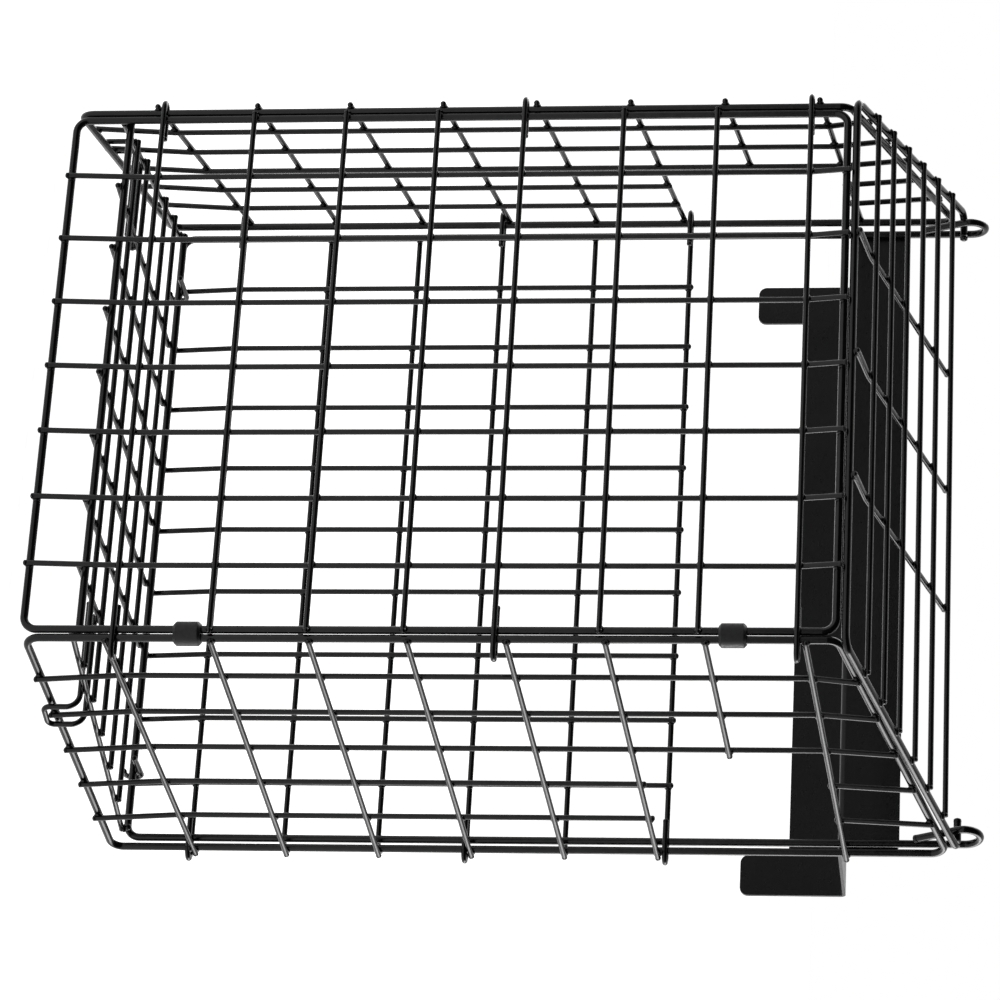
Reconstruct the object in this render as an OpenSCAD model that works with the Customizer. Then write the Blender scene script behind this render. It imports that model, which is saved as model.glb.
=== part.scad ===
// Letterbox cage: hooked wire panels that catch the mail behind a door's letter slot.
// Millimetres, +X to the right as seen from indoors, +Y towards the door, +Z up.
// The origin is under the middle of the bracket's web, on the face that rests in the letter slot.

/* [Wire] */
// Diameter of the border wire of each panel, coated
frame_d = 3.6; // [3.2:0.1:4]
// Diameter of the mesh wire, coated
mesh_d = 2.6; // [2.2:0.1:2.8]
// How far two welded wires sink into each other
weld_sink = 0.2; // [0.1:0.05:0.4]
// Bend radius at the panel corners, on the wire's centre line
corner_r = 6; // [5:0.5:8]

/* [Cage] */
// Width of the front panel between the centres of its side bars
front_w = 263; // [261:0.5:264]
// Height of the front panel between the centres of its top and bottom bars
front_h = 361.2; // [360.8:0.2:362]
// Distance between the back bars of the two side panels
back_w = 336; // [334:1:338]
// Distance from the front plane to the plane of the back bars
depth = 165; // [164:0.5:166]
// Pitch of the upright wires in the front and back panels
upright_pitch = 33.4; // [33:0.1:33.6]
// Pitch of the cross wires in the front panel
front_pitch = 43.3; // [43:0.1:43.4]
// Height of the lowest cross wire of the front panel
front_first = 41.3; // [41:0.1:41.6]
// Pitch of the depth wires in the side panels
side_pitch = 43.8; // [43.6:0.1:44]
// Pitch of the cross wires in the back panel
back_pitch = 45; // [44.8:0.1:45.2]

/* [Lid] */
// Height of the hinge line above the front panel's bottom bar
hinge_z = 410.9; // [410.6:0.1:411]
// Pitch of the cross wires in the lid
lid_pitch = 22.8; // [22.4:0.1:23]

/* [Floor] */
// Height of the floor panel at its front bar
floor_front_z = 24.4; // [24:0.1:25]
// Height of the floor panel at its back end
floor_back_z = 21; // [21:0.1:21.2]
// Pitch of the floor's cross wires
floor_pitch = 26.7; // [26:0.1:27]

/* [Clips] */
// Length of each plastic clip along the bars
clip_len = 12.2; // [11:0.1:13.5]
// Outer radius of the clip's barrel
clip_r = 5.5; // [5:0.1:5.8]
// Clearance between a clip and its bars, on the radius
clip_gap = 0.05; // [0.03:0.01:0.1]

/* [Bracket] */
// Thickness of the steel sheet
sheet_t = 1.5; // [1:0.1:2]
// Width of the bracket
bracket_w = 330; // [322:1:331]
// Height of the flange inside the door
upper_flange = 28.5; // [24:0.5:34]
// Depth of the web that passes through the letter slot
web_depth = 54; // [48:1:60]
// Height of the flange outside the door
lower_flange = 27.5; // [20:0.5:30]
// Width of each tab below the lower flange
tab_w = 20.5; // [16:0.5:26]
// Length of each tab
tab_len = 23; // [18:0.5:28]

/* [Hidden] */

wire_black = [0.06, 0.06, 0.07];
clip_black = [0.1, 0.1, 0.11];
sheet_black = [0.08, 0.08, 0.09];
round_fn = 24;

// Offsets from the plane of a panel's border wire: the cross wires lie straight on the border,
// and the uprights lie level with it under them, with their ends bent out to lie on the border
first_off = frame_d / 2 + mesh_d / 2 - weld_sink;
layer = mesh_d - weld_sink;
second_off = first_off + layer;
level_off = first_off - layer;
// How far a mesh wire runs past the border wire that it is welded to
overrun = 2;
// Radius of the slight bends near the ends of the uprights
kink_r = 12;
// Thin sleeve that closes the seam between a straight and a bend
sleeve = 0.02;

// Front panel
front_rows = 8;
dropped_row = 4;
row_drop = 3;
hook_rows = [0, 4, 7];
plain_rows = [1, 2, 3, 5, 6];
hook_back_y = 4.2;
left_hook_tip = -141.7;
left_hook_end = -123;
right_hook_tip = 146;
right_hook_end = 118;

// Side panels, in their own plane: s runs back along the panel, z up
side_gap = 0.25;
side_front_x = front_w / 2 + frame_d + side_gap;
side_front_y = 0.6;
side_back_y = depth - 0.4;
side_run = side_back_y - side_front_y;
side_flare = back_w / 2 - side_front_x;
side_len = sqrt(side_run * side_run + side_flare * side_flare);
side_angle = atan2(side_flare, side_run);
side_low = 1;
side_low_back = 13.5;
wire_rise = 11.4;
side_top = 362;
side_top_back = 406.5;
side_rise = (side_low_back - side_low) / side_len;
side_bay = side_len / 6;
side_first = 41.6;
lowest_drop = 3.6;
lowest_rise = 15.4;
top_overrun = 1.2;
side_rows = 8;
side_columns = 5;
slot_columns = [4, 5];
slot_low_row = 5;
short_row = 6;
slot_top_row = 7;
short_column = 3;

// Back panel
back_x = 1;
back_half = 162.2;
back_low = 20;
back_first = 50.5;
back_rows = 6;
back_hook_rows = [0, 3, 5];
back_plain_rows = [1, 2, 4];
back_row_shift = [0, -0.7, -0.9, -4, -2.5, 0];
back_columns = 9;
back_hook_y = depth - hook_back_y;
back_hook_tip = 175;
back_hook_end = 154;
eyelet_top = 423.2;
eyelet_r = 7.2;
eyelet_lean = 24;
eyelet_leg = 22;
eyelet_yaw = 6;

// Lid, in its own plane: t runs back from the front bar
lid_front_y = -0.6;
lid_front_z = front_h + frame_d + 0.6;
hinge_y = depth - 7.5;
lid_len = norm([hinge_y - lid_front_y, hinge_z - lid_front_z]);
lid_angle = atan2(hinge_z - lid_front_z, hinge_y - lid_front_y);
lid_front_half = 137.7;
lid_back_half = 168.8;
lid_leg_end = 154;
lid_leg_bend = 4;
lid_rows = 6;
lid_first = 22.7;
lid_overrun = 0.3;
lid_wire_x = [-68, -6, 56];
lid_wire_slant = 1.1;

// Floor panel
floor_front_y = 5;
floor_back_y = 160;
floor_first = 28;
floor_front_half = 131.5;
floor_back_half = 161;
floor_rows = 5;
floor_wire_pitch = 32.8;
floor_slope = (floor_back_z - floor_front_z) / (floor_back_y - floor_front_y);
loop_legs_y = [47, 60.5];
loop_inner_x = 3 * floor_wire_pitch - 2;
loop_outer_gap = 3.6;
loop_low_z = 1.5;
loop_joint_z = 9;
loop_r = 3.2;
curl_x = [-128, 131];
curl_r = 3.9;
curl_top_z = 24.1;
curl_front_y = 145;
curl_back_y = depth + 3.4;

// Clips
lower_clip_z = 68.5;
upper_clip_z = 310.2;
clip_chamfer = 1.2;
clip_throat = 2.4;
clip_mouth = 1.8;

// Bracket
bracket_x = 1.6;
bracket_y = depth + frame_d / 2 - 0.1;
bracket_z = 355.4;
sheet_corner = 4;
sheet_bend = 2.5;
datum_y = bracket_y + sheet_t + web_depth / 2;

function pick(value, i) = is_list(value) ? value[i] : value;
function heading(a, b) = atan2(b.y - a.y, b.x - a.x);
function wrap(angle) = angle > 180 ? angle - 360 : (angle <= -180 ? angle + 360 : angle);
function turn_at(p, i) =
    let (n = len(p)) wrap(heading(p[i], p[(i + 1) % n]) - heading(p[(i + n - 1) % n], p[i]));
function is_bent(p, i, closed) = closed || (i > 0 && i < len(p) - 1);
function trim_at(p, i, r, closed) = is_bent(p, i, closed) ? pick(r, i) * tan(abs(turn_at(p, i)) / 2) : 0;
function row_z(i) = front_first + front_pitch * i - (i == dropped_row ? row_drop : 0);
function side_row_front_z(k) = side_first + side_pitch * k - (k == 0 ? lowest_drop : 0);
function side_row_z(k, s) = side_row_front_z(k) + (k == 0 ? lowest_rise : wire_rise) * s / side_len;
function side_edge_low(s) = side_low + side_rise * s;
function side_edge_top(s) = side_top + (side_top_back - side_top) * s / side_len;
function back_row_z(i) = back_first + back_pitch * i + back_row_shift[i];
function floor_z(y) = floor_front_z + floor_slope * (y - floor_front_y);

// Offset of an upright's end, past a bar that it reaches from the cross wire next to it
function end_off(bay, past) = first_off + layer * past / bay;

// Moves the cage's own frame, which starts at the front panel's bottom bar, to the datum
module from_datum() {
    translate([0, -datum_y, -bracket_z]) children();
}

// One straight wire between two points in space
module rod(a, b, d) {
    v = b - a;
    translate(a)
        rotate([0, acos(v.z / norm(v)), atan2(v.y, v.x)])
            cylinder(h = norm(v), d = d, $fn = round_fn);
}

// One wire bent in the XY plane through the points p, with bend radius r at each corner
module bent_wire(p, d, r, closed = false) {
    n = len(p);
    for (i = [0 : closed ? n - 1 : n - 2]) {
        a = p[i];
        b = p[(i + 1) % n];
        along = (b - a) / norm(b - a);
        from = a + along * trim_at(p, i, r, closed);
        to = b - along * trim_at(p, (i + 1) % n, r, closed);
        if ((to - from) * along > 0.02)
            rod([from.x, from.y, 0], [to.x, to.y, 0], d);
    }
    for (i = [0 : n - 1])
        if (is_bent(p, i, closed))
            bend(p, i, d, pick(r, i), trim_at(p, i, r, closed));
}

// The rounded corner of a bent wire at its point i
module bend(p, i, d, r, trim) {
    angle = heading(p[(i + len(p) - 1) % len(p)], p[i]);
    turn = turn_at(p, i);
    side = sign(turn);
    start = p[i] - trim * [cos(angle), sin(angle)];
    centre = start + side * r * [-sin(angle), cos(angle)];
    translate([centre.x, centre.y, 0])
        rotate([0, 0, angle - 90 * side + min(turn, 0)])
            rotate_extrude(angle = abs(turn), $fn = 4 * round_fn)
                translate([r, 0]) circle(d = d, $fn = round_fn);
    for (end = [0, 1])
        translate([p[i].x, p[i].y, 0]) rotate([0, 0, angle + turn * end])
            translate([trim * (2 * end - 1), 0, 0]) rotate([0, 90, 0])
                cylinder(h = 0.3, d = d + sleeve, center = true, $fn = round_fn);
}

// Stands a drawing made in the XY plane up, so that its Y becomes Z
module stood_up() {
    rotate([90, 0, 0]) children();
}

// Right side panel's plane: X runs back along the panel, Y up, Z outwards
module right_plane() {
    translate([side_front_x, side_front_y, 0])
        rotate([0, 0, 90 - side_angle])
            stood_up() children();
}

module left_plane() {
    mirror([1, 0, 0]) right_plane() children();
}

// Lid's plane: X to the right, Y back along the lid, Z outwards
module lid_plane() {
    translate([0, lid_front_y, lid_front_z])
        rotate([lid_angle, 0, 0]) children();
}

// Front panel

module front_frame() {
    half = front_w / 2;
    color(wire_black) from_datum() stood_up()
        bent_wire([[-half, 0], [half, 0], [half, front_h], [-half, front_h]], frame_d, corner_r, true);
}

module front_uprights() {
    low_row = row_z(0);
    high_row = row_z(front_rows - 1);
    path = [[-overrun, -end_off(low_row, overrun)], [low_row, -level_off],
            [high_row, -level_off], [front_h + overrun, -end_off(front_h - high_row, overrun)]];
    color(wire_black) from_datum()
        for (j = [-3 : 3])
            translate([j * upright_pitch, 0, 0]) upright_plane() bent_wire(path, mesh_d, kink_r);
}

// Plane of the uprights: a drawing's X becomes Z, and its Y stays Y
module upright_plane() {
    rotate([0, -90, 0]) children();
}

module front_cross_wires() {
    reach = front_w / 2 + overrun;
    color(wire_black) from_datum()
        for (i = plain_rows)
            rod([-reach, -first_off, row_z(i)], [reach, -first_off, row_z(i)], mesh_d);
}

// A front wire that runs past both side panels and hooks back behind their front bars
module front_hook_wires() {
    near_y = -first_off;
    left_x = left_hook_tip + mesh_d / 2;
    right_x = right_hook_tip - mesh_d / 2;
    path = [[left_hook_end, hook_back_y], [left_x, hook_back_y], [left_x, near_y],
            [right_x, near_y], [right_x, hook_back_y], [right_hook_end, hook_back_y]];
    color(wire_black) from_datum()
        for (i = hook_rows)
            translate([0, 0, row_z(i)]) bent_wire(path, mesh_d, (hook_back_y - near_y) / 2);
}

// Side panels

module side_frame() {
    bent_wire([[0, side_low], [side_len, side_low_back], [side_len, side_top_back], [0, side_top]],
              frame_d, corner_r, true);
}

// Upright wires. The last two stop at the depth wires above and below the letter slot.
module side_uprights() {
    for (n = [1 : side_columns]) {
        s = side_bay * n;
        low = side_edge_low(s);
        low_row = side_row_z(0, s);
        high_row = side_row_z(side_rows - 1, s);
        top = side_edge_top(s);
        foot = [[low - overrun, end_off(low_row - low, overrun)], [low_row, level_off]];
        head = [[high_row, level_off], [top + top_overrun, end_off(top - high_row, top_overrun)]];
        cut = len(search(n, slot_columns)) > 0;
        translate([s, 0, 0]) rotate([90, 0, 90])
            if (cut) {
                bent_wire([each foot, [side_row_z(slot_low_row, s) + overrun, level_off]], mesh_d, kink_r);
                bent_wire([[side_row_z(slot_top_row, s) - overrun, level_off], each head], mesh_d, kink_r);
            }
            else
                bent_wire([each foot, each head], mesh_d, kink_r);
    }
}

// Depth wires. The short one stops at the edge of the opening beside the letter slot.
module side_depth_wires() {
    for (k = [0 : side_rows - 1]) {
        far = k == short_row ? side_bay * short_column : side_len;
        rod([-overrun, side_row_z(k, -overrun), first_off],
            [far + overrun, side_row_z(k, far + overrun), first_off], mesh_d);
    }
}

module left_frame() { color(wire_black) from_datum() left_plane() side_frame(); }
module left_uprights() { color(wire_black) from_datum() left_plane() side_uprights(); }
module left_depth_wires() { color(wire_black) from_datum() left_plane() side_depth_wires(); }
module right_frame() { color(wire_black) from_datum() right_plane() side_frame(); }
module right_uprights() { color(wire_black) from_datum() right_plane() side_uprights(); }
module right_depth_wires() { color(wire_black) from_datum() right_plane() side_depth_wires(); }

// Back panel

// One wire: down from the left eyelet, under the mesh and up to the right eyelet
module back_frame() {
    left = back_x - back_half;
    right = back_x + back_half;
    top = eyelet_top - frame_d / 2 - eyelet_r;
    path = [[left, top], [left, back_low], [right, back_low], [right, top]];
    color(wire_black) from_datum() translate([0, depth, 0]) stood_up()
        bent_wire(path, frame_d, corner_r);
}

// The ends of the same wire, rolled forwards into loops that carry the lid's pins
module back_eyelets() {
    color(wire_black) from_datum()
        for (side = [-1, 1])
            translate([back_x + side * back_half, depth, eyelet_top - frame_d / 2 - eyelet_r])
                rotate([90, 0, 90 - side * eyelet_yaw]) eyelet();
}

// One loop in its own plane, X back and Y up, starting at the top of its bar
module eyelet() {
    turn = 180 + eyelet_lean;
    leg = eyelet_leg;
    translate([-eyelet_r, 0, 0]) {
        rotate_extrude(angle = turn, $fn = 4 * round_fn)
            translate([eyelet_r, 0]) circle(d = frame_d, $fn = round_fn);
        rotate([0, 0, turn]) translate([eyelet_r, 0, 0]) rotate([-90, 0, 0]) {
            cylinder(h = leg, d = frame_d, $fn = round_fn);
            cylinder(h = 0.3, d = frame_d + sleeve, center = true, $fn = round_fn);
        }
    }
}

module back_uprights() {
    middle = (back_columns - 1) / 2;
    path = [[back_low - overrun, end_off(back_row_z(0) - back_low, overrun)], [back_row_z(0), level_off],
            [back_row_z(back_rows - 1) + overrun, level_off]];
    color(wire_black) from_datum()
        for (j = [0 : back_columns - 1])
            translate([back_x + (j - middle) * upright_pitch, depth, 0])
                upright_plane() bent_wire(path, mesh_d, kink_r);
}

module back_cross_wires() {
    reach = back_half + overrun;
    color(wire_black) from_datum() translate([back_x, depth + first_off, 0])
        for (i = back_plain_rows)
            rod([-reach, 0, back_row_z(i)], [reach, 0, back_row_z(i)], mesh_d);
}

// A back wire that runs past both side panels and hooks forward round their back bars
module back_hook_wires() {
    far_y = depth + first_off;
    tip_x = back_hook_tip - mesh_d / 2;
    path = [[-back_hook_end, back_hook_y], [-tip_x, back_hook_y], [-tip_x, far_y],
            [tip_x, far_y], [tip_x, back_hook_y], [back_hook_end, back_hook_y]];
    color(wire_black) from_datum()
        for (i = back_hook_rows)
            translate([0, 0, back_row_z(i)]) bent_wire(path, mesh_d, (far_y - back_hook_y) / 2);
}

// Lid

// One wire: hinge leg, side, front bar, side and hinge leg
module lid_frame() {
    path = [[-lid_leg_end, lid_len], [-lid_back_half, lid_len], [-lid_front_half, 0],
            [lid_front_half, 0], [lid_back_half, lid_len], [lid_leg_end, lid_len]];
    color(wire_black) from_datum() lid_plane()
        bent_wire(path, frame_d, [0, lid_leg_bend, corner_r, corner_r, lid_leg_bend, 0]);
}

module lid_cross_wires() {
    color(wire_black) from_datum() lid_plane() translate([0, 0, first_off])
        for (i = [0 : lid_rows - 1]) {
            t = lid_first + lid_pitch * i;
            half = lid_front_half + (lid_back_half - lid_front_half) * t / lid_len + lid_overrun;
            rod([-half, t, 0], [half, t, 0], mesh_d);
        }
}

// Wires from the front bar back under the cross wires. They stand a little askew.
module lid_depth_wires() {
    last = lid_first + lid_pitch * (lid_rows - 1) + overrun;
    path = [[-overrun, end_off(lid_first, overrun)], [lid_first, level_off], [last, level_off]];
    color(wire_black) from_datum() lid_plane()
        for (x = lid_wire_x)
            translate([x, 0, 0]) rotate([90, 0, 90 - lid_wire_slant])
                bent_wire(path, mesh_d, kink_r);
}

// Floor

module floor_bars() {
    front = floor_front_half + overrun;
    color(wire_black) from_datum() {
        rod([-front, floor_front_y, floor_front_z], [front, floor_front_y, floor_front_z], frame_d);
        rod([-floor_back_half, floor_back_y, floor_back_z],
            [floor_back_half, floor_back_y, floor_back_z], frame_d);
    }
}

function floor_half(y) =
    floor_front_half
    + (floor_back_half - floor_front_half) * (y - floor_front_y) / (floor_back_y - floor_front_y);

module floor_cross_wires() {
    color(wire_black) from_datum()
        for (n = [0 : floor_rows - 1]) {
            y = floor_first + floor_pitch * n;
            z = floor_z(y) - level_off;
            half = floor_half(y) + mesh_d / 2;
            rod([-half, y, z], [half, y, z], mesh_d);
        }
}

// Wires that run back under the floor's bars: seven parallel ones and the two slanted edges
module floor_depth_wires() {
    front = [floor_front_y - overrun, floor_z(floor_front_y) - first_off];
    back = [floor_back_y + 1, floor_z(floor_back_y) - first_off];
    color(wire_black) from_datum() {
        for (j = [-3 : 3])
            rod([j * floor_wire_pitch, front.x, front.y], [j * floor_wire_pitch, back.x, back.y], mesh_d);
        for (side = [-1, 1])
            rod([side * floor_front_half, front.x, front.y], [side * floor_back_half, back.x, back.y], mesh_d);
    }
}

// Loops that reach out through the side panels and drop over their bottom edges
module floor_side_loops() {
    color(wire_black) from_datum() {
        floor_side_loop();
        mirror([1, 0, 0]) floor_side_loop();
    }
}

// Where a loop's leg at y stands, just outside the side panel
function loop_x(y) = side_front_x + y * tan(side_angle) + loop_outer_gap;

module floor_side_loop() {
    middle_y = (loop_legs_y[0] + loop_legs_y[1]) / 2;
    far = (loop_legs_y[1] - loop_legs_y[0]) / cos(side_angle);
    z = floor_z(middle_y) - second_off;
    for (y = loop_legs_y) {
        translate([0, y, 0]) stood_up()
            bent_wire([[loop_inner_x, z], [loop_x(y), z], [loop_x(y), loop_joint_z]], mesh_d, corner_r);
        translate([loop_x(y), y, loop_joint_z])
            cylinder(h = 0.3, d = mesh_d + sleeve, center = true, $fn = round_fn);
    }
    translate([loop_x(loop_legs_y[0]), loop_legs_y[0], 0]) rotate([90, 0, 90 - side_angle])
        bent_wire([[0, loop_joint_z], [0, loop_low_z], [far, loop_low_z], [far, loop_joint_z]],
                  mesh_d, loop_r);
}

// Short wires on the floor whose back ends curl round the back panel's bottom bar
module floor_back_curls() {
    top_z = curl_top_z;
    low_z = top_z - 2 * curl_r;
    color(wire_black) from_datum()
        for (x = curl_x)
            translate([x, 0, 0]) rotate([90, 0, 90])
                bent_wire([[curl_front_y, top_z], [curl_back_y, top_z], [curl_back_y, low_z],
                           [depth - 4, low_z]], mesh_d, curl_r);
}

// Clips

// A plastic barrel that holds the front panel's right bar and the side panel's front bar together
module bar_clip() {
    bars = [[front_w / 2, 0], [side_front_x, side_front_y]];
    bore_r = frame_d / 2 + clip_gap;
    between = (bars[0] + bars[1]) / 2;
    lean = heading(bars[0], bars[1]);
    span = norm(bars[1] - bars[0]);
    inset = clip_r - clip_chamfer;
    difference() {
        translate([between.x, between.y, 0])
            rotate_extrude($fn = 2 * round_fn)
                polygon([[0, 0], [inset, 0], [clip_r, clip_chamfer], [clip_r, clip_len - clip_chamfer],
                         [inset, clip_len], [0, clip_len]]);
        for (b = bars)
            translate([b.x, b.y, -1]) cylinder(h = clip_len + 2, r = bore_r, $fn = round_fn);
        translate([between.x, between.y, clip_len / 2]) rotate([0, 0, lean]) {
            cube([span, clip_throat, clip_len + 2], center = true);
            translate([0, clip_r, 0]) cube([clip_mouth, 2 * clip_r, clip_len + 2], center = true);
        }
    }
}

module lower_clip() { color(clip_black) from_datum() translate([0, 0, lower_clip_z]) bar_clip(); }
module upper_clip() { color(clip_black) from_datum() translate([0, 0, upper_clip_z]) bar_clip(); }

// Bracket

// Rounded outline of the flange outside the door, with its two tabs
module lower_flange_outline() {
    half = bracket_w / 2;
    low = -lower_flange - tab_len;
    difference() {
        translate([-half, low]) square([bracket_w, -low]);
        translate([-half + tab_w, low - 1]) square([bracket_w - 2 * tab_w, tab_len + 1]);
        for (side = [-1, 1], edge = [0, 1])
            translate([side * (half - edge * tab_w), low])
                rotate([0, 0, side * (edge == 0 ? 1 : -1) > 0 ? 90 : 0])
                    corner_cut();
    }
}

// What is cut from a square corner at the origin, facing +X and +Y, to round it
module corner_cut() {
    difference() {
        translate([-1, -1]) square([sheet_corner + 1, sheet_corner + 1]);
        translate([sheet_corner, sheet_corner]) circle(r = sheet_corner, $fn = 2 * round_fn);
    }
}

module upper_flange_outline() {
    half = bracket_w / 2;
    difference() {
        translate([-half, 0]) square([bracket_w, upper_flange]);
        translate([-half, upper_flange]) rotate([0, 0, -90]) corner_cut();
        translate([half, upper_flange]) rotate([0, 0, 180]) corner_cut();
    }
}

// Sheet bent twice: up inside the door, through the slot, and down outside the door
module slot_bracket() {
    far_y = web_depth + 2 * sheet_t;
    color(sheet_black) from_datum() translate([bracket_x, bracket_y, bracket_z])
        difference() {
            union() {
                translate([0, sheet_t, 0]) stood_up()
                    linear_extrude(height = sheet_t) upper_flange_outline();
                translate([-bracket_w / 2, 0, 0])
                    cube([bracket_w, far_y, sheet_t]);
                translate([0, far_y, sheet_t]) stood_up()
                    linear_extrude(height = sheet_t) lower_flange_outline();
                sheet_fillet(sheet_t, sheet_t, 1);
                sheet_fillet(far_y - sheet_t, 0, -1);
            }
            edge_round(0, 0, 1);
            edge_round(far_y, sheet_t, -1);
        }
}

// What is cut from the outside of a bend at y, z to round it. way is 1 for the bend inside the door.
module edge_round(y, z, way) {
    difference() {
        translate([-bracket_w / 2 - 1, y, z]) rotate([way > 0 ? 0 : 180, 0, 0])
            translate([0, -1, -1]) cube([bracket_w + 2, sheet_bend + 1, sheet_bend + 1]);
        translate([-bracket_w / 2 - 2, y + way * sheet_bend, z + way * sheet_bend]) rotate([0, 90, 0])
            cylinder(h = bracket_w + 4, r = sheet_bend, $fn = 2 * round_fn);
    }
}

// Metal inside a bend whose inner corner is at y, z
module sheet_fillet(y, z, way) {
    inner = sheet_bend - sheet_t;
    difference() {
        translate([-bracket_w / 2, y, z]) rotate([way > 0 ? 0 : 180, 0, 0])
            translate([0, -0.2, -0.2]) cube([bracket_w, inner + 0.2, inner + 0.2]);
        translate([-bracket_w / 2 - 1, y + way * inner, z + way * inner]) rotate([0, 90, 0])
            cylinder(h = bracket_w + 2, r = inner, $fn = 2 * round_fn);
    }
}

front_frame();
front_uprights();
front_cross_wires();
front_hook_wires();
left_frame();
left_uprights();
left_depth_wires();
right_frame();
right_uprights();
right_depth_wires();
back_frame();
back_eyelets();
back_uprights();
back_cross_wires();
back_hook_wires();
lid_frame();
lid_cross_wires();
lid_depth_wires();
floor_bars();
floor_cross_wires();
floor_depth_wires();
floor_side_loops();
floor_back_curls();
lower_clip();
upper_clip();
slot_bracket();
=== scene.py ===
# Visual model of the letterbox cage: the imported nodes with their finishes, weld beads and cut wire
# ends, in the photographer's studio. The scene is in metres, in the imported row's frame. The wires
# are listed in millimetres, in the cage's own frame, which starts at the middle of the front
# panel's bottom bar, with x to the right, y towards the door and z up.
import itertools
import math
from collections import namedtuple

import bmesh
import bpy
from mathutils import Matrix, Vector, noise


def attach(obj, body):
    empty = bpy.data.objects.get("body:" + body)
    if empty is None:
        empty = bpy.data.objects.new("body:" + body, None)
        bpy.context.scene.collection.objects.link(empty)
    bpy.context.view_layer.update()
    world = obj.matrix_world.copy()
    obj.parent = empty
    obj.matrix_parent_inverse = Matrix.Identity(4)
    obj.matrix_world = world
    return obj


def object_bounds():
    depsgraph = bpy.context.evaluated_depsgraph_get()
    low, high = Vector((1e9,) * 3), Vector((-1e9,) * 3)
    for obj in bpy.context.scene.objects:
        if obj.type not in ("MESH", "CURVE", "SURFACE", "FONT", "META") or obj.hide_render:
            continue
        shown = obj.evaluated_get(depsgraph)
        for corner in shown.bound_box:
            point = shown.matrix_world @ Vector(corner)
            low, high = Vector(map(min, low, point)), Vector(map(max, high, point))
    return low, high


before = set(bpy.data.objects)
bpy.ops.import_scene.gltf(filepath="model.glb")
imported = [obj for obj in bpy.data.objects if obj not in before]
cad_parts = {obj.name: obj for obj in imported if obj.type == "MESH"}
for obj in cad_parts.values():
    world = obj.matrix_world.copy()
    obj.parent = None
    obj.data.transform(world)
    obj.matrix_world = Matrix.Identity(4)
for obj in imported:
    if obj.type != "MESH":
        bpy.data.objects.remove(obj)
cad_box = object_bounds()

MM = 0.001
# The row's origin in the cage's own frame
DATUM = Vector((0, 195.2, 355.4))

FRAME_R = 1.8
MESH_R = 1.3
WELD_SINK = 0.2
# How far a mesh wire runs past the border wire that it is welded to
OVERRUN = 2
# Offsets from the plane of a panel's border wire: the cross wires lie straight on the border, and
# the uprights lie level with it, with their ends bent out to lie on it
FIRST = FRAME_R + MESH_R - WELD_SINK
LAYER = 2 * MESH_R - WELD_SINK
SECOND = FIRST + LAYER
LEVEL = FIRST - LAYER

# A wire's points are its ends and the corners between them. ends says which ends are cut and show
# a blob of coating: both, first, last or none
Wire = namedtuple("Wire", "body radius points ends")
wires = []


def wire(body, radius, points, ends="both"):
    wires.append(Wire(body, radius, [Vector(p) for p in points], ends))


def end_off(bay, past):
    """Offset of an upright's end, past a bar that it reaches from the cross wire next to it."""
    return FIRST + LAYER * past / bay


# ---------------------------------------------------------------- front panel

FRONT_HALF = 263 / 2
FRONT_H = 361.2
UPRIGHT_PITCH = 33.4
FRONT_PITCH = 43.3
FRONT_ROWS = 8
LOW_ROW = 41.3
HIGH_ROW = LOW_ROW + FRONT_PITCH * (FRONT_ROWS - 1)
# One cross wire was welded on a little too low
DROPPED_ROW = 4
ROW_DROP = 3
# Cross wires that run out and hook back round the side panels' front bars
FRONT_HOOK_ROWS = (0, 4, 7)
HOOK_DEPTH = 4.2
LEFT_HOOK_X = -141.7 + MESH_R
LEFT_HOOK_END = -123
RIGHT_HOOK_X = 146 - MESH_R
RIGHT_HOOK_END = 118


def front_row_z(i):
    return LOW_ROW + FRONT_PITCH * i - (ROW_DROP if i == DROPPED_ROW else 0)


def front_panel():
    wire("cage", FRAME_R, [(-FRONT_HALF, 0, 0), (FRONT_HALF, 0, 0), (FRONT_HALF, 0, FRONT_H),
                           (-FRONT_HALF, 0, FRONT_H), (-FRONT_HALF, 0, 0)], "none")
    foot = end_off(LOW_ROW, OVERRUN)
    head = end_off(FRONT_H - HIGH_ROW, OVERRUN)
    for j in range(-3, 4):
        x = j * UPRIGHT_PITCH
        wire("cage", MESH_R, [(x, -foot, -OVERRUN), (x, -LEVEL, LOW_ROW),
                              (x, -LEVEL, HIGH_ROW), (x, -head, FRONT_H + OVERRUN)])
    for i in range(FRONT_ROWS):
        z = front_row_z(i)
        if i in FRONT_HOOK_ROWS:
            wire("cage", MESH_R, [(LEFT_HOOK_END, HOOK_DEPTH, z), (LEFT_HOOK_X, HOOK_DEPTH, z),
                                  (LEFT_HOOK_X, -FIRST, z), (RIGHT_HOOK_X, -FIRST, z),
                                  (RIGHT_HOOK_X, HOOK_DEPTH, z), (RIGHT_HOOK_END, HOOK_DEPTH, z)])
        else:
            reach = FRONT_HALF + OVERRUN
            wire("cage", MESH_R, [(-reach, -FIRST, z), (reach, -FIRST, z)])


# ---------------------------------------------------------------- side panels

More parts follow.
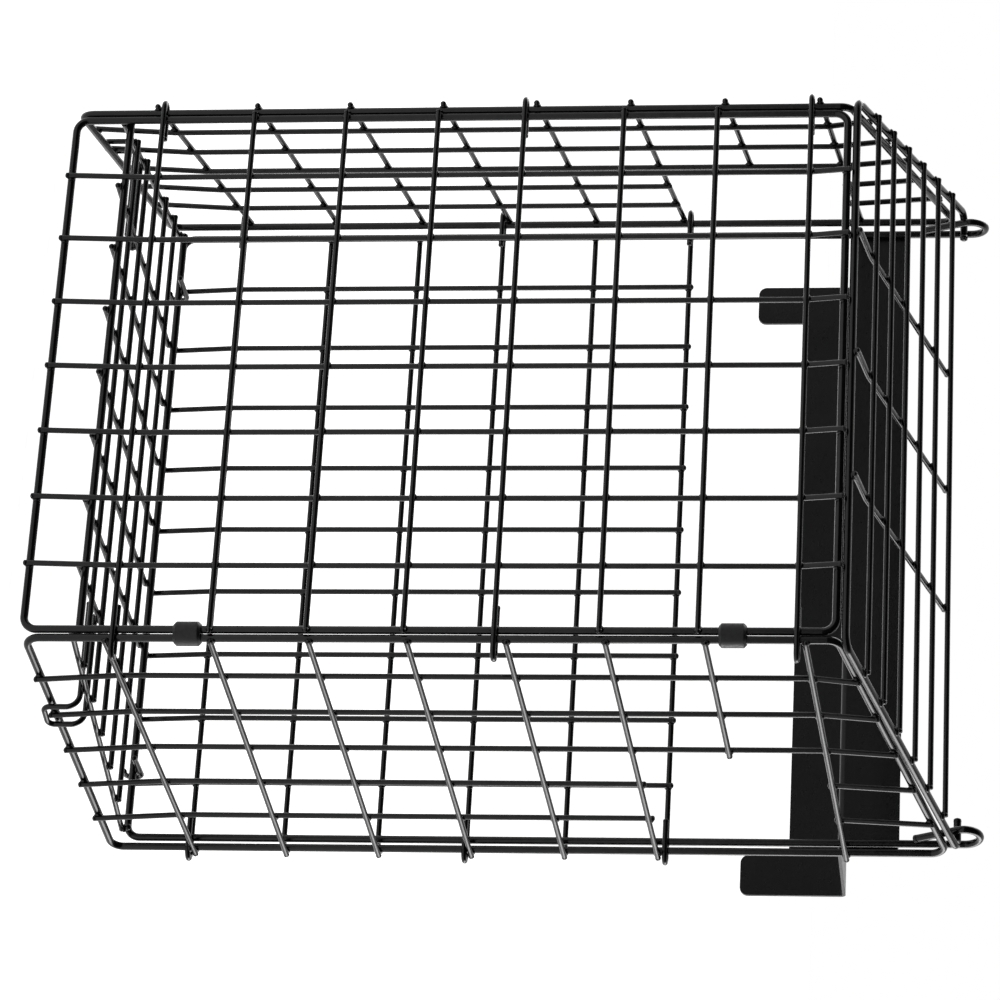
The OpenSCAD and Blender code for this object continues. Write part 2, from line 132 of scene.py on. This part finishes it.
# A side panel has its own plane: s runs back along it, off is the offset outwards
DEPTH = 165
SIDE_GAP = 0.25
SIDE_X = FRONT_HALF + 2 * FRAME_R + SIDE_GAP
SIDE_Y = 0.6
SIDE_BACK_X = 168
SIDE_BACK_Y = DEPTH - 0.4
FLARE = SIDE_BACK_X - SIDE_X
RUN = SIDE_BACK_Y - SIDE_Y
SIDE_LEN = math.hypot(RUN, FLARE)
ALONG = Vector((FLARE, RUN, 0)) / SIDE_LEN
OUTWARD = Vector((RUN, -FLARE, 0)) / SIDE_LEN
SIDE_LOW = 1
SIDE_LOW_BACK = 13.5
SIDE_TOP = 362
SIDE_TOP_BACK = 406.5
TOP_OVERRUN = 1.2
SIDE_BAY = SIDE_LEN / 6
SIDE_COLUMNS = 5
SIDE_ROWS = 8
SIDE_FIRST = 41.6
SIDE_PITCH = 43.8
WIRE_RISE = 11.4
# The lowest depth wire starts lower than its place in the row and rises more steeply
LOWEST_DROP = 3.6
LOWEST_RISE = 15.4
# Beside the letter slot two uprights are cut away between these rows, and one row is short
SLOT_COLUMNS = (4, 5)
SLOT_LOW_ROW = 5
SLOT_TOP_ROW = 7
SHORT_ROW = 6
SHORT_COLUMN = 3


def side_point(hand, s, z, off):
    p = Vector((SIDE_X, SIDE_Y, z)) + ALONG * s + OUTWARD * off
    return Vector((hand * p.x, p.y, p.z))


def side_row_z(k, s):
    if k == 0:
        return SIDE_FIRST - LOWEST_DROP + LOWEST_RISE * s / SIDE_LEN
    return SIDE_FIRST + SIDE_PITCH * k + WIRE_RISE * s / SIDE_LEN


def side_upright_paths(n):
    """Runs of upright n as (z, offset) corners: one run, or two beside the letter slot."""
    s = SIDE_BAY * n
    low = SIDE_LOW + (SIDE_LOW_BACK - SIDE_LOW) * s / SIDE_LEN
    top = SIDE_TOP + (SIDE_TOP_BACK - SIDE_TOP) * s / SIDE_LEN
    low_row = side_row_z(0, s)
    high_row = side_row_z(SLOT_TOP_ROW, s)
    foot = [(low - OVERRUN, end_off(low_row - low, OVERRUN)), (low_row, LEVEL)]
    head = [(high_row, LEVEL), (top + TOP_OVERRUN, end_off(top - high_row, TOP_OVERRUN))]
    if n not in SLOT_COLUMNS:
        return [foot + head]
    under_slot = [(side_row_z(SLOT_LOW_ROW, s) + OVERRUN, LEVEL)]
    over_slot = [(high_row - OVERRUN, LEVEL)]
    return [foot + under_slot, over_slot + head]


def side_panel(hand):
    wire("cage", FRAME_R, [side_point(hand, s, z, 0) for s, z in (
        (0, SIDE_LOW), (SIDE_LEN, SIDE_LOW_BACK), (SIDE_LEN, SIDE_TOP_BACK),
        (0, SIDE_TOP), (0, SIDE_LOW))], "none")
    for n in range(1, SIDE_COLUMNS + 1):
        for path in side_upright_paths(n):
            wire("cage", MESH_R, [side_point(hand, SIDE_BAY * n, z, off) for z, off in path])
    for k in range(SIDE_ROWS):
        far = SHORT_COLUMN * SIDE_BAY if k == SHORT_ROW else SIDE_LEN
        wire("cage", MESH_R, [side_point(hand, s, side_row_z(k, s), FIRST)
                              for s in (-OVERRUN, far + OVERRUN)])


# ---------------------------------------------------------------- back panel

BACK_X = 1
BACK_HALF = 162.2
BACK_LOW = 20
BACK_FIRST = 50.5
BACK_PITCH = 45
# Where each cross wire was welded on, against its place in the row
BACK_ROW_SHIFT = (0, -0.7, -0.9, -4, -2.5, 0)
BACK_TOP_ROW = BACK_FIRST + BACK_PITCH * (len(BACK_ROW_SHIFT) - 1)
BACK_HOOK_ROWS = (0, 3, 5)
BACK_HOOK_X = 175 - MESH_R
BACK_HOOK_END = 154
# The ends of the U-shaped border wire are rolled into eyelets, which end in a straight leg
EYELET_R = 7.2
EYELET_Z = 423.2 - FRAME_R - EYELET_R
EYELET_LEAN = math.radians(24)
EYELET_YAW = math.radians(6)
EYELET_LEG = 22


def eyelet_leg(side):
    back = Vector((side * math.sin(EYELET_YAW), math.cos(EYELET_YAW), 0))
    turn = math.pi + EYELET_LEAN
    top = Vector((BACK_X + side * BACK_HALF, DEPTH, EYELET_Z))
    start = top + back * EYELET_R * (math.cos(turn) - 1) + Vector((0, 0, EYELET_R * math.sin(turn)))
    down = back * math.sin(EYELET_LEAN) - Vector((0, 0, math.cos(EYELET_LEAN)))
    wire("cage", FRAME_R, [start, start + EYELET_LEG * down], "last")


def back_panel():
    left = BACK_X - BACK_HALF
    right = BACK_X + BACK_HALF
    wire("cage", FRAME_R, [(left, DEPTH, EYELET_Z), (left, DEPTH, BACK_LOW),
                           (right, DEPTH, BACK_LOW), (right, DEPTH, EYELET_Z)], "none")
    for side in (-1, 1):
        eyelet_leg(side)
    foot_y = DEPTH + end_off(BACK_FIRST - BACK_LOW, OVERRUN)
    for j in range(-4, 5):
        x = BACK_X + j * UPRIGHT_PITCH
        wire("cage", MESH_R, [(x, foot_y, BACK_LOW - OVERRUN), (x, DEPTH + LEVEL, BACK_FIRST),
                              (x, DEPTH + LEVEL, BACK_TOP_ROW + OVERRUN)])
    outer_y = DEPTH + FIRST
    hook_y = DEPTH - HOOK_DEPTH
    for i, shift in enumerate(BACK_ROW_SHIFT):
        z = BACK_FIRST + BACK_PITCH * i + shift
        if i in BACK_HOOK_ROWS:
            wire("cage", MESH_R, [(-BACK_HOOK_END, hook_y, z), (-BACK_HOOK_X, hook_y, z),
                                  (-BACK_HOOK_X, outer_y, z), (BACK_HOOK_X, outer_y, z),
                                  (BACK_HOOK_X, hook_y, z), (BACK_HOOK_END, hook_y, z)])
        else:
            wire("cage", MESH_R, [(left - OVERRUN, outer_y, z), (right + OVERRUN, outer_y, z)])


# ---------------------------------------------------------------- lid

# The lid has its own plane: t runs back from its front bar to the hinge, off is the offset upwards
LID_FRONT_Y = -0.6
LID_CLEARANCE = 0.6
HINGE_FORWARD = 7.5
HINGE_Z = 410.9
LID_FRONT = Vector((0, LID_FRONT_Y, FRONT_H + 2 * FRAME_R + LID_CLEARANCE))
HINGE = Vector((0, DEPTH - HINGE_FORWARD, HINGE_Z))
LID_LEN = (HINGE - LID_FRONT).length
LID_ALONG = (HINGE - LID_FRONT) / LID_LEN
LID_UP = Vector((1, 0, 0)).cross(LID_ALONG)
LID_FRONT_HALF = 137.7
LID_BACK_HALF = 168.8
LID_PIN_END = 154
LID_ROWS = 6
LID_FIRST = 22.7
LID_PITCH = 22.8
LID_OVERRUN = 0.3
# The wires that run back along the lid were welded on at a slight slant
LID_WIRES_X = (-68, -6, 56)
LID_SLANT = math.radians(1.1)


def lid_point(x, t, off):
    return LID_FRONT + Vector((x, 0, 0)) + LID_ALONG * t + LID_UP * off


def lid():
    wire("lid", FRAME_R, [lid_point(x, t, 0) for x, t in (
        (-LID_PIN_END, LID_LEN), (-LID_BACK_HALF, LID_LEN), (-LID_FRONT_HALF, 0),
        (LID_FRONT_HALF, 0), (LID_BACK_HALF, LID_LEN), (LID_PIN_END, LID_LEN))])
    for i in range(LID_ROWS):
        t = LID_FIRST + LID_PITCH * i
        half = LID_FRONT_HALF + (LID_BACK_HALF - LID_FRONT_HALF) * t / LID_LEN + LID_OVERRUN
        wire("lid", MESH_R, [lid_point(-half, t, FIRST), lid_point(half, t, FIRST)])
    last = LID_FIRST + LID_PITCH * (LID_ROWS - 1) + OVERRUN
    path = [(-OVERRUN, end_off(LID_FIRST, OVERRUN)), (LID_FIRST, LEVEL), (last, LEVEL)]
    for x in LID_WIRES_X:
        wire("lid", MESH_R, [lid_point(x + t * math.sin(LID_SLANT), t * math.cos(LID_SLANT), off)
                             for t, off in path])


# ---------------------------------------------------------------- floor panel

FLOOR_FRONT_Y = 5
FLOOR_BACK_Y = 160
FLOOR_FRONT_Z = 24.4
FLOOR_BACK_Z = 21
FLOOR_FRONT_HALF = 131.5
FLOOR_BACK_HALF = 161
FLOOR_ROWS = 5
FLOOR_FIRST = 28
FLOOR_PITCH = 26.7
FLOOR_WIRE_PITCH = 32.8
FLOOR_BACK_OVERRUN = 1
# U loops that reach out over the side panels' bottom bars; only their legs are listed, up to the
# bend, because nothing is welded to the rest
LOOP_LEGS_Y = (47, 60.5)
LOOP_INNER_X = 3 * FLOOR_WIRE_PITCH - OVERRUN
LOOP_OUTER_GAP = 3.6
LOOP_BEND = 8
# Short wires that curl round the back panel's bottom bar; the bend itself isn't listed either
CURLS_X = (-128, 131)
CURL_FRONT_Y = 145
CURL_BEND_Y = DEPTH + 2
CURL_END_Y = DEPTH - 4
CURL_R = 3.9
CURL_TOP_Z = 24.1
CURL_LOW_Z = CURL_TOP_Z - 2 * CURL_R


def across_floor(y, front, back):
    """A measure at y that changes evenly from the floor's front bar to its back bar."""
    return front + (back - front) * (y - FLOOR_FRONT_Y) / (FLOOR_BACK_Y - FLOOR_FRONT_Y)


def floor_z(y):
    return across_floor(y, FLOOR_FRONT_Z, FLOOR_BACK_Z)


def floor_depth_wires():
    """Nine wires that run back, of which the outer two follow the flare of the side panels."""
    for j in range(-4, 5):
        front_x = j * FLOOR_WIRE_PITCH
        back_x = front_x
        if abs(j) == 4:
            front_x = math.copysign(FLOOR_FRONT_HALF, j)
            back_x = math.copysign(FLOOR_BACK_HALF, j)
        wire("cage", MESH_R, [(front_x, FLOOR_FRONT_Y - OVERRUN, FLOOR_FRONT_Z - FIRST),
                              (back_x, FLOOR_BACK_Y + FLOOR_BACK_OVERRUN, FLOOR_BACK_Z - FIRST)])


def floor_loops():
    z = floor_z(sum(LOOP_LEGS_Y) / 2) - SECOND
    for hand in (-1, 1):
        for y in LOOP_LEGS_Y:
            outer_x = SIDE_X + y * FLARE / RUN + LOOP_OUTER_GAP
            wire("cage", MESH_R, [(hand * LOOP_INNER_X, y, z), (hand * (outer_x - LOOP_BEND), y, z)],
                 "first")


def floor_curls():
    for x in CURLS_X:
        wire("cage", MESH_R, [(x, CURL_FRONT_Y, CURL_TOP_Z), (x, DEPTH, CURL_TOP_Z)], "first")
        wire("cage", MESH_R, [(x, CURL_BEND_Y, CURL_LOW_Z), (x, CURL_END_Y, CURL_LOW_Z)], "last")


def floor_panel():
    front_reach = FLOOR_FRONT_HALF + OVERRUN
    wire("cage", FRAME_R, [(-front_reach, FLOOR_FRONT_Y, FLOOR_FRONT_Z),
                           (front_reach, FLOOR_FRONT_Y, FLOOR_FRONT_Z)])
    wire("cage", FRAME_R, [(-FLOOR_BACK_HALF, FLOOR_BACK_Y, FLOOR_BACK_Z),
                           (FLOOR_BACK_HALF, FLOOR_BACK_Y, FLOOR_BACK_Z)])
    for n in range(FLOOR_ROWS):
        y = FLOOR_FIRST + FLOOR_PITCH * n
        half = across_floor(y, FLOOR_FRONT_HALF, FLOOR_BACK_HALF) + MESH_R
        z = floor_z(y) - LEVEL
        wire("cage", MESH_R, [(-half, y, z), (half, y, z)])
    floor_depth_wires()
    floor_loops()
    floor_curls()


front_panel()
side_panel(-1)
side_panel(1)
back_panel()
lid()
floor_panel()


# ---------------------------------------------------------------- welds and wire ends

# Two wires touch when the gap between them is below this
TOUCH_GAP = 0.05
# Centre lines closer than this are parts of one wire that is listed in two stretches
SAME_WIRE = 0.5
# Two wires run alongside each other when the squared sine of the angle between them is below this
ALONGSIDE = 0.05
# How far a bead reaches along the wires, in radii of the thinner one, and half its thickness
BEAD_SPREAD = 1.624
BEAD_HALF_THICK = 1.05
BEAD_LUMPS = 0.10
LUMP_SCALE = 1.7
END_STEPS = 16
DOME_RINGS = 4
END_TIP_R = 0.02
END_LUMPS = 0.03
# The bead at the end of the lower clip's slide is smaller, so that the clip stays clear of it
CLIP_STOP = Vector((FRONT_HALF, -FIRST / 2, LOW_ROW + FRONT_PITCH))
CLIP_STOP_REACH = 4
CLIP_STOP_BEAD = 0.75


def closest(p, q, r, s):
    """Closest points of segments p-q and r-s, or None when they run alongside each other."""
    u = q - p
    v = s - r
    w = p - r
    a = u.dot(u)
    b = u.dot(v)
    c = v.dot(v)
    d = u.dot(w)
    e = v.dot(w)
    apart = a * c - b * b
    if apart < ALONGSIDE * a * c:
        return None
    k = min(max((b * e - c * d) / apart, 0), 1)
    m = min(max((b * k + e) / c, 0), 1)
    return p + u * k, r + v * m, u.normalized(), v.normalized()


def bead_size(at, radius):
    size = BEAD_SPREAD * radius
    if (at - CLIP_STOP).length < CLIP_STOP_REACH:
        return CLIP_STOP_BEAD * size
    return size


def add_bead(bm, at, u, v, size, seed):
    """A bead of molten wire under its coating, with a slightly uneven outline."""
    n = u.cross(v).normalized()
    side = n.cross(u).normalized()
    geom = bmesh.ops.create_icosphere(bm, subdivisions=2, radius=1)
    for vert in geom["verts"]:
        d = vert.co.copy()
        lump = 1 + BEAD_LUMPS * noise.noise(d * LUMP_SCALE + Vector((seed, 0, 0)))
        out = u * (d.x * size) + side * (d.y * size) + n * (d.z * BEAD_HALF_THICK)
        vert.co = (at + out * lump - DATUM) * MM


def end_rings(radius):
    """Radius and height of each ring of the blob on a cut wire end, from its skirt to its tip."""
    skirt_r = 0.995 * radius
    skirt = -1.1 * radius
    bulge_r = 1.07 * radius
    shoulder = -0.35 * radius
    crown = 0.42 * radius
    rings = [(skirt_r, skirt), (bulge_r, shoulder)]
    for k in range(1, DOME_RINGS + 1):
        angle = k / DOME_RINGS * math.pi / 2
        ring_r = max(bulge_r * math.cos(angle), END_TIP_R)
        rings.append((ring_r, shoulder + (crown - shoulder) * math.sin(angle)))
    return rings


def add_end(bm, tip, inner, radius, seed):
    """The rounded blob of coating on the wire end at tip, whose wire comes from inner."""
    outwards = (tip - inner).normalized()
    across = outwards.orthogonal().normalized()
    other = outwards.cross(across)
    loops = []
    for ring_r, height in end_rings(radius):
        loop = []
        for m in range(END_STEPS):
            t = 2 * math.pi * m / END_STEPS
            lump = 1 + END_LUMPS * noise.noise(Vector((math.cos(t), math.sin(t), seed)))
            p = tip + outwards * height + (across * math.cos(t) + other * math.sin(t)) * ring_r * lump
            loop.append(bm.verts.new((p - DATUM) * MM))
        loops.append(loop)
    for lower, upper in zip(loops, loops[1:]):
        for m in range(END_STEPS):
            after = (m + 1) % END_STEPS
            bm.faces.new((lower[m], lower[after], upper[after], upper[m]))
    bm.faces.new(loops[-1])
    bm.faces.new(list(reversed(loops[0])))


def add_welds(bm, own):
    """A bead wherever two of these wires cross and touch. Returns the last bead's seed."""
    seed = 0
    for one, two in itertools.combinations(own, 2):
        touching = one.radius + two.radius + TOUCH_GAP
        sides = itertools.product(zip(one.points, one.points[1:]), zip(two.points, two.points[1:]))
        for (p, q), (r, s) in sides:
            hit = closest(p, q, r, s)
            if hit and SAME_WIRE < (hit[0] - hit[1]).length < touching:
                seed += 1
                at = (hit[0] * two.radius + hit[1] * one.radius) / (one.radius + two.radius)
                add_bead(bm, at, hit[2], hit[3], bead_size(at, min(one.radius, two.radius)), seed)
    return seed


def add_ends(bm, own, seed):
    for each in own:
        if each.ends in ("both", "first"):
            seed += 1
            add_end(bm, each.points[0], each.points[1], each.radius, seed)
        if each.ends in ("both", "last"):
            seed += 1
            add_end(bm, each.points[-1], each.points[-2], each.radius, seed)


def make_piece(name, bm, body, material):
    mesh = bpy.data.meshes.new(name)
    bmesh.ops.recalc_face_normals(bm, faces=bm.faces)
    bm.to_mesh(mesh)
    bm.free()
    for poly in mesh.polygons:
        poly.use_smooth = True
    piece = bpy.data.objects.new(name, mesh)
    bpy.context.scene.collection.objects.link(piece)
    piece.data.materials.append(material)
    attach(piece, body)
    return piece


# ---------------------------------------------------------------- materials

# Nearly all of the noise texture's values lie between these
NOISE_LOW = 0.3
NOISE_HIGH = 0.7


def new_material(name):
    mat = bpy.data.materials.new(name)
    mat.use_nodes = True
    tree = mat.node_tree
    return mat, tree, tree.nodes["Principled BSDF"]


def grey(value):
    return (value, value, value)


def ramp(tree, source, low, high, start, end):
    node = tree.nodes.new("ShaderNodeValToRGB")
    first, last = node.color_ramp.elements
    first.position = start
    first.color = (*low, 1)
    last.position = end
    last.color = (*high, 1)
    tree.links.new(source, node.inputs["Fac"])
    return node.outputs["Color"]


def noise_node(tree, scale, detail):
    coords = tree.nodes.new("ShaderNodeTexCoord")
    node = tree.nodes.new("ShaderNodeTexNoise")
    node.inputs["Scale"].default_value = scale
    node.inputs["Detail"].default_value = detail
    node.inputs["Roughness"].default_value = 0.5
    tree.links.new(coords.outputs["Object"], node.inputs["Vector"])
    return node.outputs["Fac"]


def black_finish(name, dark, light, blotches, smooth, rough, wear, specular, grain, strength, height):
    """A near-black finish. blotches, wear and grain are the noises of its colour, gloss and relief."""
    mat, tree, shader = new_material(name)
    colour = ramp(tree, noise_node(tree, *blotches), dark, light, NOISE_LOW, NOISE_HIGH)
    tree.links.new(colour, shader.inputs["Base Color"])
    gloss = ramp(tree, noise_node(tree, *wear), grey(smooth), grey(rough), NOISE_LOW, NOISE_HIGH)
    tree.links.new(gloss, shader.inputs["Roughness"])
    shader.inputs["Specular IOR Level"].default_value = specular
    bump = tree.nodes.new("ShaderNodeBump")
    bump.inputs["Strength"].default_value = strength
    bump.inputs["Distance"].default_value = height
    tree.links.new(noise_node(tree, *grain), bump.inputs["Height"])
    tree.links.new(bump.outputs["Normal"], shader.inputs["Normal"])
    return mat


coated = black_finish(
    "coated_wire", dark=(0.0012, 0.0012, 0.0016), light=(0.0032, 0.003, 0.0034), blotches=(90, 2),
    smooth=0.13, rough=0.24, wear=(260, 3), specular=0.26, grain=(420, 2), strength=0.06, height=0.0002)
plastic = black_finish(
    "clip_plastic", dark=(0.0025, 0.0025, 0.003), light=(0.006, 0.006, 0.0065), blotches=(300, 3),
    smooth=0.42, rough=0.58, wear=(700, 2), specular=0.35, grain=(2600, 2), strength=0.3, height=0.0001)
sheet = black_finish(
    "bracket_sheet", dark=(0.0015, 0.0015, 0.002), light=(0.0035, 0.0035, 0.004), blotches=(60, 3),
    smooth=0.26, rough=0.4, wear=(420, 3), specular=0.22, grain=(1500, 3), strength=0.3, height=0.00015)


def wear_edges(node):
    bevel = node.modifiers.new("worn_edges", "BEVEL")
    bevel.width = 0.25 * MM
    bevel.segments = 2
    bevel.limit_method = "ANGLE"
    bevel.angle_limit = math.radians(40)


def finish_of(name):
    if "clip" in name:
        return plastic
    return sheet if name == "slot_bracket" else coated


for name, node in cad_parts.items():
    mat = finish_of(name)
    node.data.materials.clear()
    node.data.materials.append(mat)
    if mat is not coated:
        wear_edges(node)

for body in ("cage", "lid"):
    own = [each for each in wires if each.body == body]
    welds = bmesh.new()
    ends = bmesh.new()
    seed = add_welds(welds, own)
    add_ends(ends, own, seed)
    make_piece(body + "_welds", welds, body, coated)
    make_piece(body + "_wire_ends", ends, body, coated)


# ---------------------------------------------------------------- studio and camera

# The camera stands in front of the cage and to its right, and looks to the left and a little down
CAMERA_PLACE = (0.9886, -2.0449, 0.1049)
CAMERA_TURN = math.radians(26.475)
CAMERA_DROP = math.radians(6.897)
CAMERA_LENS = 168.2
HEADING = Vector((-math.sin(CAMERA_TURN), math.cos(CAMERA_TURN), 0))
UP = Vector((0, 0, 1))
LOOK = HEADING * math.cos(CAMERA_DROP) - UP * math.sin(CAMERA_DROP)
# The floor is just below the lowest wire end
FLOOR_DROP = 0.004
LAMP_AIM = Vector((0, -0.1, -0.15))


def studio_floor():
    mesh = bpy.data.meshes.new("studio_floor")
    bm = bmesh.new()
    bmesh.ops.create_grid(bm, x_segments=8, y_segments=8, size=6.0)
    bm.to_mesh(mesh)
    bm.free()
    floor = bpy.data.objects.new("studio_floor", mesh)
    floor.location = (0, 0, cad_box[0].z - FLOOR_DROP)
    bpy.context.scene.collection.objects.link(floor)
    mat, tree, shader = new_material("pale_floor")
    colour = ramp(tree, noise_node(tree, 3, 2), grey(0.80), grey(0.82), 0, 1)
    tree.links.new(colour, shader.inputs["Base Color"])
    shader.inputs["Roughness"].default_value = 0.9
    shader.inputs["Emission Color"].default_value = (1, 1, 1, 1)
    shader.inputs["Emission Strength"].default_value = 0.8
    floor.data.materials.append(mat)


def studio_walls():
    """White behind the cage, and dim on the side that the photographer stands on."""
    world = bpy.data.worlds.new("studio")
    world.use_nodes = True
    tree = world.node_tree
    coords = tree.nodes.new("ShaderNodeTexCoord")
    towards = tree.nodes.new("ShaderNodeVectorMath")
    towards.operation = "DOT_PRODUCT"
    towards.inputs[1].default_value = -LOOK
    tree.links.new(coords.outputs["Generated"], towards.inputs[0])
    fade = tree.nodes.new("ShaderNodeMapRange")
    fade.inputs["From Min"].default_value = -0.3
    fade.inputs["From Max"].default_value = 0.2
    fade.inputs["To Min"].default_value = 1.0
    fade.inputs["To Max"].default_value = 0.025
    tree.links.new(towards.outputs["Value"], fade.inputs["Value"])
    tree.links.new(fade.outputs["Result"], tree.nodes["Background"].inputs["Strength"])
    tree.nodes["Background"].inputs["Color"].default_value = (1, 1, 1, 1)
    bpy.context.scene.world = world
    bpy.context.scene.view_settings.view_transform = "Standard"


def softbox(name, place, watts, size):
    light = bpy.data.lights.new(name, "AREA")
    light.energy = watts
    light.size = size
    lamp = bpy.data.objects.new(name, light)
    lamp.location = place
    lamp.rotation_euler = (LAMP_AIM - Vector(place)).to_track_quat("-Z", "Y").to_euler()
    bpy.context.scene.collection.objects.link(lamp)


def camera():
    """The photograph shows the cage on its side: the picture's right is up along the cage."""
    picture_right = UP * math.cos(CAMERA_DROP) + HEADING * math.sin(CAMERA_DROP)
    picture_up = picture_right.cross(LOOK)
    data = bpy.data.cameras.new("camera")
    data.sensor_width = 36
    data.lens = CAMERA_LENS
    data.clip_start = 0.1
    data.clip_end = 60
    cam = bpy.data.objects.new("camera", data)
    turned = Matrix((picture_right, picture_up, -LOOK)).transposed().to_4x4()
    cam.matrix_world = Matrix.Translation(CAMERA_PLACE) @ turned
    bpy.context.scene.collection.objects.link(cam)
    bpy.context.scene.camera = cam


studio_floor()
studio_walls()
softbox("right_softbox", (1.25, 1.0, 0.15), watts=22, size=0.9)
softbox("left_softbox", (-1.3, 0.6, 0.5), watts=8, size=0.8)
camera()
